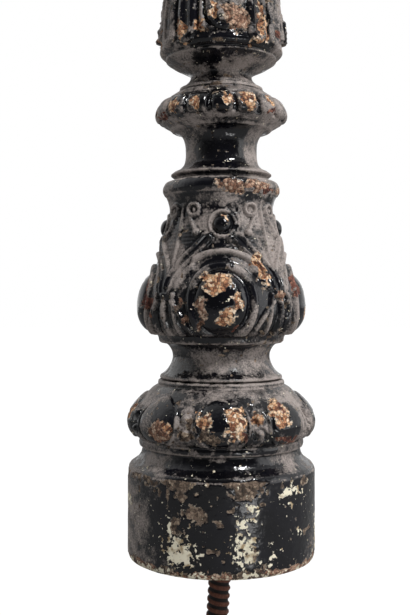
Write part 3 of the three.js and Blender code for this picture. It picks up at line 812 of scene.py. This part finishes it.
def pear_profile(sizes):
    """Foot, neck, pear and collar, closed inside the neck above."""
    pear = sizes.pear_radius / MM
    return np.vstack([
        straight([(0, 100.3), (33.6, 100.3)], 12.0)[:-1],
        straight([(33.6, 100.3), (34.6, 100.8), (34.7, 101.6)], 0.6)[:-1],
        spline([(34.3, 102.2), (31.4, 104.4), (28.8, 108), (27.5, 112.4), (28.1, 116), (30.2, 119.2),
                (32.6, 120.4)], 0.9)[:-1],
        straight([(34.4, 120.6), (35.3, 121.6), (35.7, 124.0)], 0.6)[:-1],
        spline([(36.2, 124.8), (38.8, 126.8), (41.6, 130), (pear - 0.3, 135), (pear, 140), (pear - 0.5, 146),
                (42.2, 152), (39.0, 159), (36.0, 167), (33.5, 175.5), (31.2, 184.5), (29.4, 193), (29.4, 197),
                (30.4, 200.8)], 0.56)[:-1],
        straight([(30.9, 201.8), (31.2, 203.0)], 0.6)[:-1],
        spline([(32.1, 203.4), (33.0, 205), (33.2, 206.6), (32.8, 208.4), (31.6, 210.4),
                (30, 211.2)], 0.55)[:-1],
        straight([(26.9, 212.2), (24.0, 212.4), (0, 212.4)], 8.0)])


def calyx_profile(sizes):
    """Upper neck, knop, hollow, calyx and its taper up to the ring, closed inside the collar below."""
    knop, calyx = sizes.knop_radius / MM, sizes.calyx_radius / MM
    return np.vstack([
        straight([(0, 211.0), (25.4, 211.0)], 9.0)[:-1],
        straight([(26.2, 212.0), (26.4, 213.2), (27.6, 214.2), (28.5, 214.8), (28.5, 216)], 0.6)[:-1],
        spline([(26.6, 216.8), (23.4, 218.4), (21.2, 221), (20.3, 224.6), (20.2, 229), (20.6, 233.4),
                (22.0, 237.0), (24.2, 239.2), (26.2, 240.0)], 0.8)[:-1],
        straight([(26.6, 240.1), (28.2, 240.3), (28.9, 241.1)], 0.5)[:-1],
        spline([(29.8, 241.9), (33.2, 243.8), (knop - 0.8, 246), (knop, 248.8), (knop - 1.0, 252),
                (33.2, 255.2), (30.8, 257.4), (28.4, 259.2), (25.2, 261.4)], 0.56)[:-1],
        straight([(23.4, 261.9), (23.9, 262.6), (23.6, 264.0), (22.0, 264.4)], 0.5)[:-1],
        spline([(21.0, 264.8), (20.4, 265.9), (18.5, 267.8), (17.4, 270.4), (18.4, 272.6), (22.2, 274.8),
                (26.8, 277.0), (29.8, 278.8)], 0.8)[:-1],
        spline([(30.4, 279.2), (31.3, 279.9), (31.4, 280.7), (30.9, 281.3)], 0.4)[:-1],
        spline([(31.4, 281.5), (calyx - 0.6, 282.4), (calyx + 0.9, 284.2), (calyx + 0.6, 287), (calyx, 293),
                (calyx - 0.4, 300), (32.6, 308), (31.2, 319)], 0.6)[:-1],
        spline([(31.2, 319), (29.0, 336), (24.6, 364), (21.4, 390), (20.4, 403)], 3.0)[:-1],
        spline([(20.6, 403.6), (22.4, 405.4), (23.1, 408), (22.4, 410.6), (20.2, 412.2)], 0.8)[:-1],
        straight([(19.8, 414), (19.0, 418)], 2.0)[:-1],
        straight([(19.0, 418), (0, 418)], 9.0)])


def pear_carving(angle, height, radius):
    """The pear's ornament: cabochon in a ring, arch, crossing straps, leaves, volutes and a bead on each
    face, and a knob with hanging ribs on each corner."""
    across = from_nearest(angle, FACES) * radius
    side = np.abs(across)
    corner = np.abs(from_nearest(angle + TURN / 8, FACES)) * radius
    lift, film = np.zeros(angle.shape), np.zeros(angle.shape)

    def raise_to(shape, high, dust_and_sheen=0.0):
        higher = shape * high > lift
        lift[higher] = (shape * high)[higher]
        film[higher] = dust_and_sheen

    hatched = step(side, 13.0, 16.0) * (1 - step(side, 25.0, 28.0))
    hatched *= step(height, 168.0, 173.0) * (1 - step(height, 190.0, 194.0))
    lift += 0.32 * hatched * np.sin(height * TURN / 2.1)

    # hanging ribs and the knob over them, on the corners
    raise_to(rounded(corner, 1.1) * step(height, 146.0, 149.0) * (1 - step(height, 192.0, 198.0)), 1.5)
    raise_to(rounded(corner - 4.6, 0.9) * step(height, 148.0, 152.0) * (1 - step(height, 166.0, 174.0)), 0.8)
    for line in ([(0.2, 145.0), (0.5, 137.0), (0.8, 125.0)],
                 [(6.0, 147.6), (7.2, 140.0), (7.9, 132.0), (8.2, 125.0)],
                 [(5.2, 143.6), (9.6, 138.6), (13.4, 132.6), (16.0, 125.4)]):
        raise_to(rounded(from_path(corner, height, line), 1.35), 2.4, 0.1)
    raise_to(rounded(np.hypot(corner, height - 147.0), 2.9), 3.2, -0.3)

    # arch, strap, leaf, volute and bead, over the cabochon
    arch = np.hypot(across, height - CABOCHON_HEIGHT)
    over = step(height, 150.0, 153.0) * (1 - step(side, 15.0, 18.5))
    strap = from_path(side, height, [
        (8.0, 177.6), (14.0, 171.4), (22.0, 164.4), (28.8, 156.8), (32.4, 149.0)])
    raise_to(rounded(from_path(side, height, [(16.4, 161.6), (22.0, 158.0), (27.2, 151.6)]), 2.8), 1.8, 0.1)
    raise_to(rounded(strap, 3.1) ** 0.6, 2.5)
    lift -= 1.5 * rounded(strap, 1.5)
    lift[(strap > 3.1) & (strap < 4.1) & (height > 150)] -= 0.6
    raise_to(rounded(arch - 27.4, 1.7) * over, 2.2, 0.42)
    raise_to(rounded(from_path(side, height, [(17.8, 191.6), (17.4, 187.4), (14.6, 181.4)]), 1.4), 1.6)
    raise_to(rounded(from_path(across, height, [(7.6, 189.6), (8.6, 184.0), (5.4, 177.0)]), 1.6), 1.3)
    raise_to(rounded(np.hypot(across - 4.4, height - 177.2), 2.6), 2.2)
    raise_to(rounded(np.hypot(side - 14.4, height - 180.6), 2.3), 2.4)
    volute = np.hypot(side - 15.9, height - 193.6)
    lift[volute < 4.4] = -0.4
    film[volute < 2.6] = -0.5
    raise_to(rounded(volute - 3.3, 1.1), 1.9, 0.1)
    raise_to(rounded(np.hypot(side - 15.4, (height - 193.2) / 1.6), 1.3), 1.4, 0.2)
    bead = np.hypot(across, height - 185.4)
    lift[bead < 7.8] = -0.7
    raise_to(rounded(bead - 7.0, 1.0), 1.1, 0.25)
    raise_to(rounded(bead, 4.9), 3.5, -0.7)

    # the cabochon stands a little off the middle of its ring
    around = np.hypot(across, (height - CABOCHON_HEIGHT) / CABOCHON_STRETCH)
    lift -= 1.2 * step(around, 19.4, 20.6) * (1 - step(arch, 24.4, 25.8)) * over
    lift[around < 20.4] = -0.9
    film[around < 20.4] = -0.1
    raise_to(rounded(around - 17.3, 2.1) ** 0.7, 2.3, 0.16)
    raise_to(rounded(np.hypot(across + 1.0, (height - CABOCHON_HEIGHT) / CABOCHON_STRETCH), 14.4), 4.2, -0.75)
    fades = step(height, 124.8, 127.4) * (1 - step(height, 199.4, 200.8))
    return lift * fades, film * fades


def knop_carving(angle, height, radius, count):
    """Pads with rounded corners in a sunk band round the knop's upper half."""
    across = np.abs(from_nearest(angle, count)) * radius
    up = np.abs(height - KNOP_MIDDLE)
    pad = np.hypot(np.maximum(across - 3.2, 0), np.maximum(up - 3.4, 0))
    band = step(height, 244.4, 245.4) * (1 - step(height, 257.0, 258.2))
    return band * (-1.9 + 3.0 * rounded(pad, 2.9) ** 0.8), np.zeros(angle.shape)


def calyx_carving(angle, height, radius, count, depth):
    """Reeds with rounded feet, and on each face a broad leaf whose tip rolls over into a curl."""
    across = from_nearest(angle + TURN / count / 2, count) * radius
    half = TURN / count * radius * 0.45
    foot = 283.6 + half * 0.9
    low = height < foot
    fade = 1 - step(height, 392.0, 402.0)
    off_line = np.where(low, np.hypot(across, height - foot), np.abs(across))
    reed = rounded(off_line, half) ** 0.6 * depth * fade
    channel = rounded(off_line, half * 0.42) * fade
    under_leaf = (np.abs(from_nearest(angle, FACES)) * radius < 13.5) & (height < 289)
    lift = np.where(under_leaf, 0.0, np.maximum(reed - 1.5 * channel, 0))
    film = np.zeros(angle.shape)

    # the leaf, a little off the middle of its face, with a raised rim and a crumpled middle
    off = from_nearest(angle, FACES) * radius - 1.6
    tip = 299.0
    leaf = np.hypot(off / 10.6, np.minimum(height - tip, 0) / 9.6)
    leaf = np.where(height > tip, np.abs(off) / (10.6 * (1 - 0.35 * step(height, 305.0, 330.0))), leaf)
    body = 1.1 * rounded(leaf, 1.0) ** 0.35 + 0.7 * rounded(leaf - 0.84, 0.16)
    body += 1.6 * ragged(np.stack([off, height, angle * 9], axis=-1), 4.4)
    beside, above = off + 1.2, height - 296.4
    curl = np.hypot(beside, above)
    rolled = np.arctan2(above, beside)
    from_lower_left = np.abs(np.remainder(rolled - math.radians(225) + math.pi, TURN) - math.pi)
    on_curl = 1 - step(from_lower_left, 1.25, 1.75)
    body += 0.55 * np.cos(curl * TURN / 2.6) * step(curl, 1.0, 2.0) * (1 - step(curl, 5.0, 6.4))
    body += on_curl * (1.8 * rounded(curl - 7.0, 1.5) - 1.4 * rounded(curl - 4.9, 1.0))
    top = step(height, 324.0, 336.0)
    lift = np.where(leaf < 1, np.maximum(body * (1 - top) + lift * top, 0), np.where(leaf < 1.14, 0.0, lift))
    film = np.where((leaf < 1) & (np.abs(curl - 7.0) < 1.6), -0.5 * on_curl, film)
    return lift * step(height, 282.0, 283.6), film


def column_carving(sizes):
    """Each stretch of the column that carries ornament, between two heights, and what is carved there."""
    stretches = (
        (124.0, 201.2, pear_carving, ()),
        (243.0, 259.0, knop_carving, (sizes.knop_pads,)),
        (281.6, 403.0, calyx_carving, (sizes.reeds, sizes.reed_depth / MM)))

    def carving(angle, height, radius):
        lift, film = np.zeros(angle.shape), np.zeros(angle.shape)
        for low, high, part, counts in stretches:
            rows = (height[:, 0] > low) & (height[:, 0] < high)
            if rows.any():
                lift[rows], film[rows] = part(angle[rows], height[rows], radius[rows], *counts)
        return lift, film
    return carving


class BALUSTER_OT_column(bpy.types.Operator):
    """Makes the column casting up to the ring over its calyx"""
    bl_idname = "baluster.column"
    bl_label = "Column casting"

    def execute(self, context):
        sizes = context.scene.baluster_sizes
        paint = column_paint(context)
        for name, profile, angles in (
                ("column_pear_iron", pear_profile(sizes), round_angles(250, 160)),
                ("column_calyx_iron", calyx_profile(sizes), round_angles(220, 130))):
            mesh = turned_casting(name, profile, angles, column_carving(sizes))
            show(name, mesh, paint, "column_paint", "column_casting")
        return {"FINISHED"}


class BALUSTER_OT_shaft(bpy.types.Operator):
    """Makes the reeded upper shaft"""
    bl_idname = "baluster.shaft"
    bl_label = "Reeded shaft"

    def execute(self, context):
        sizes = context.scene.baluster_sizes
        foot, head = 417 * MM, 846 * MM
        inputs = {
            "Reeds": sizes.reeds, "Reed depth": sizes.shaft_reed_depth, "Foot": foot, "Head": head,
            "Foot radius": sizes.shaft_foot, "Head radius": sizes.shaft_head}
        mesh = mesh_from(reeded_rule(inputs), "reeded_shaft", column_paint(context), inputs)
        fix_outside(mesh)
        places = np.array([v.co for v in mesh.vertices])
        share = (places[:, 2] - foot) / (head - foot)
        plain = sizes.shaft_foot + (sizes.shaft_head - sizes.shaft_foot) * share
        # the reeds' crests stand out, so the wear makes them paler, as dust and painted highlight, and their
        # grooves darker, as painted shade
        crests = np.hypot(places[:, 0], places[:, 1]) - plain + sizes.shaft_reed_depth / 3
        keep_wear(mesh, worn(places / MM, crests / MM, -0.16))
        show("reeded_shaft", mesh, column_paint(context), "column_paint", "column_casting")
        return {"FINISHED"}


class BALUSTER_OT_seat(bpy.types.Operator):
    """Makes the capital and the flat seat for the rail"""
    bl_idname = "baluster.seat"
    bl_label = "Capital and seat"

    def execute(self, context):
        profile = np.vstack([
            straight([(0, 842), (15.2, 842)], 4.0)[:-1],
            spline([(15.4, 842.6), (17.4, 843.8), (18.3, 846), (17.4, 848.2), (15.2, 849.4)], 0.6)[:-1],
            straight([(15, 850), (15, 860)], 1.5)[:-1],
            spline([(15.2, 861), (17.2, 864), (21.6, 869), (24.6, 876), (25.2, 881), (23.6, 886),
                    (19.4, 890.6)], 0.8)[:-1],
            straight([(21, 892.6), (26.2, 893.8), (26.8, 894.8), (26.8, 899.2), (26.2, 899.7),
                      (0, 899.7)], 3.0)])

        def plain(angle, *rest):
            return np.zeros(angle.shape), np.zeros(angle.shape)

        mesh = turned_casting("rail_seat", profile, round_angles(72, 56), plain)
        show("rail_seat", mesh, column_paint(context), "column_paint", "column_casting")
        return {"FINISHED"}


class BALUSTER_OT_rod(bpy.types.Operator):
    """Makes the threaded rod under the base"""
    bl_idname = "baluster.rod"
    bl_label = "Threaded rod"

    def execute(self, context):
        sizes = context.scene.baluster_sizes
        inputs = {
            "Crest": sizes.rod_crest, "Root": sizes.rod_root, "Pitch": sizes.rod_pitch,
            "Below": sizes.rod_below, "Length": sizes.rod_below + 8 * MM, "Lean": sizes.rod_lean, "Seed": 4.0}
        rust = finish("rusty_mild_steel", rusty_steel, context.scene.baluster_colours)
        mesh = mesh_from(thread_rule(inputs), "threaded_rod_steel", rust, inputs)
        fix_outside(mesh)
        show("threaded_rod_steel", mesh, rust, "rusty_steel", "threaded_rod")
        return {"FINISHED"}


class BALUSTER_OT_stage(bpy.types.Operator):
    """Lays the pale floor and sets the lights and the camera"""
    bl_idname = "baluster.stage"
    bl_label = "Stage, lights and camera"

    def execute(self, context):
        scene = context.scene
        mesh = bpy.data.meshes.new("floor")
        reach, level = 6.0, CAD_BOX[0].z - 0.5 * MM
        corners = [(-1, -1), (1, -1), (1, 1), (-1, 1)]
        mesh.from_pydata([(x * reach, y * reach, level) for x, y in corners], [], [(0, 1, 2, 3)])
        material, tree = new_material("matt_white_board")
        board = (*scene.baluster_colours.ground, 1)
        matt = add(tree, "ShaderNodeBsdfDiffuse", {"Color": (0.3, 0.3, 0.3, 1)})
        white = add(tree, "ShaderNodeEmission", {"Color": board, "Strength": 1.05})
        seen = add(tree, "ShaderNodeLightPath").outputs["Is Camera Ray"]
        mixed = add(tree, "ShaderNodeMixShader", [seen, matt, white])
        add(tree, "ShaderNodeOutputMaterial", {"Surface": mixed})
        mesh.materials.append(material)
        floor = bpy.data.objects.new("floor", mesh)
        context.collection.objects.link(floor)

        def lamp(name, place, target, width, height, power):
            light = bpy.data.lights.new(name, "AREA")
            light.shape = "RECTANGLE"
            light.size, light.size_y, light.energy = width, height, power
            at = bpy.data.objects.new(name, light)
            at.location = place
            at.rotation_euler = (Vector(target) - Vector(place)).to_track_quat("-Z", "Y").to_euler()
            at.visible_camera = False
            context.collection.objects.link(at)

        lamp("high_right", (0.55, -0.75, 1.15), (0, 0, 0.18), 0.2, 0.2, 14.0)
        lamp("low_right", (0.24, -0.42, -0.045), (0, 0, 0.14), 0.2, 0.1, 0.4)
        lamp("right_window", (1.5, -0.5, 0.4), (0, 0, 0.18), 1.0, 1.4, 7.0)

        # a pale room that is darker on the camera's side
        world = bpy.data.worlds.new("pale_room")
        world.use_nodes = True
        room = world.node_tree
        room.nodes.clear()
        way = add(room, "ShaderNodeSeparateXYZ", [add(room, "ShaderNodeTexCoord").outputs["Generated"]])
        behind = add(room, "ShaderNodeMapRange", {
            "Value": way.outputs["Y"], "From Min": -0.7, "From Max": 0.35, "To Min": 0.06, "To Max": 0.95},
            interpolation_type="SMOOTHSTEP")
        seen = add(room, "ShaderNodeLightPath").outputs["Is Camera Ray"]
        strength = add(room, "ShaderNodeMix", [seen, behind, 1.0])
        sky = add(room, "ShaderNodeBackground", {"Color": (1.0, 1.0, 1.0, 1), "Strength": strength})
        add(room, "ShaderNodeOutputWorld", {"Surface": sky})
        scene.world = world
        scene.view_settings.view_transform = "Standard"

        # level, 900 pixels from the axis, with its horizon 7.5 pixels above the picture's middle
        pixel, distance, picture_height = 0.57 * MM, 900, 615
        data = bpy.data.cameras.new("camera")
        data.sensor_fit = "AUTO"
        data.sensor_width = 36.0
        data.lens = data.sensor_width * distance / picture_height
        data.shift_y = -7.5 / picture_height
        data.clip_start = 0.01
        camera = bpy.data.objects.new("camera", data)
        camera.location = (-9.2 * MM, -distance * pixel, 144.5 * MM)
        camera.rotation_euler = (math.pi / 2, 0, 0)
        context.collection.objects.link(camera)
        scene.camera = camera
        return {"FINISHED"}


STEPS = ("base", "beads", "column", "shaft", "seat", "rod", "stage")


class BALUSTER_PT_panel(bpy.types.Panel):
    bl_idname = "BALUSTER_PT_panel"
    bl_label = "Stair baluster"
    bl_space_type = "VIEW_3D"
    bl_region_type = "UI"
    bl_category = "Baluster"

    def draw(self, context):
        for step_name in STEPS:
            self.layout.operator(f"baluster.{step_name}")
        for group in (context.scene.baluster_sizes, context.scene.baluster_colours):
            box = self.layout.box()
            for name in group.bl_rna.properties.keys():
                if name not in ("rna_type", "name"):
                    box.prop(group, name)


CLASSES = (
    BalusterSizes, BalusterColours, BALUSTER_OT_base, BALUSTER_OT_beads, BALUSTER_OT_column,
    BALUSTER_OT_shaft, BALUSTER_OT_seat, BALUSTER_OT_rod, BALUSTER_OT_stage, BALUSTER_PT_panel)


def register():
    for cls in CLASSES:
        bpy.utils.register_class(cls)
    bpy.types.Scene.baluster_sizes = bpy.props.PointerProperty(type=BalusterSizes)
    bpy.types.Scene.baluster_colours = bpy.props.PointerProperty(type=BalusterColours)


def unregister():
    del bpy.types.Scene.baluster_sizes
    del bpy.types.Scene.baluster_colours
    for cls in reversed(CLASSES):
        bpy.utils.unregister_class(cls)


def main():
    register()
    for step_name in STEPS:
        getattr(bpy.ops.baluster, step_name)()


if __name__ == "__main__":
    main()
